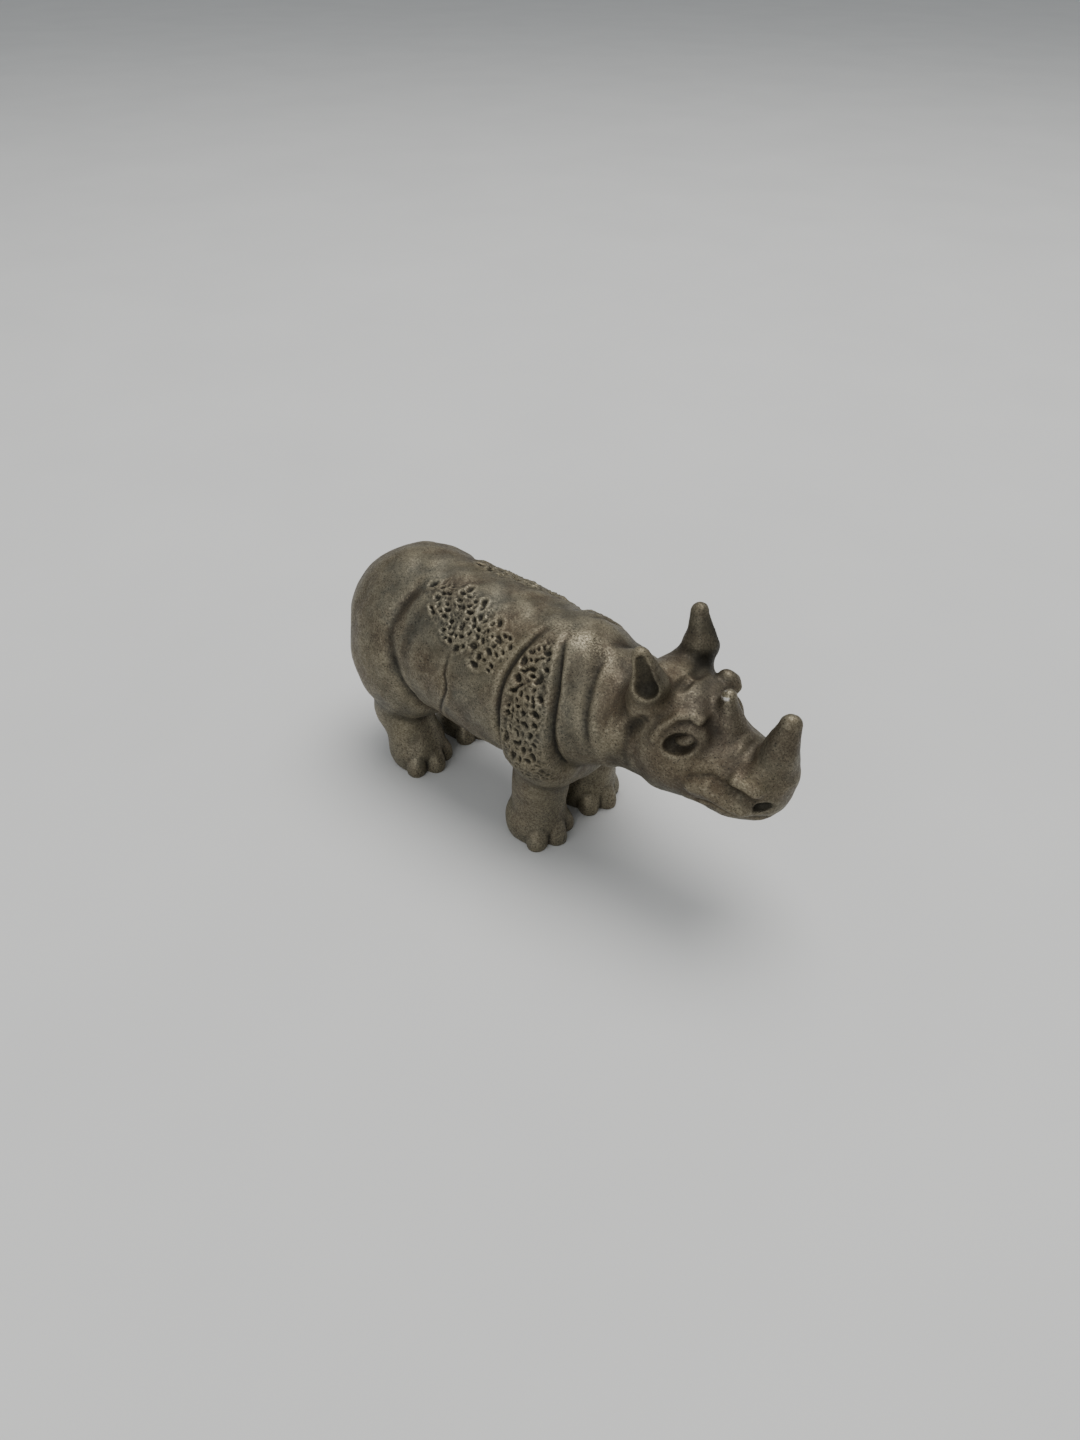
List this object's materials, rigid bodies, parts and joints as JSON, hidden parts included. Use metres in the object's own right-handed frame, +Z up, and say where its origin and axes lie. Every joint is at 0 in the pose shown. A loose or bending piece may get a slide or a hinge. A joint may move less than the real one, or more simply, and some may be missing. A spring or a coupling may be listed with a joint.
{
  "type": "rhinoceros figurine",
  "caption": "Small solid cast metal rhinoceros with skin folds, pitted hide and two horns, standing on its flat feet.",
  "frame": {"origin": "middle of the figure's box, on the ground under the feet", "axes": "+X towards the head and along the length, +Y towards the animal's left, +Z up"},
  "size_m": [0.0594, 0.0196, 0.0323],
  "materials": {
    "pewter": "antique pewter, warm grey-brown with darker patina in the folds and pits, semi-matt"
  },
  "bodies": {
    "root": {"rhinoceros_figurine": "pewter"}
  },
  "joints": []
}
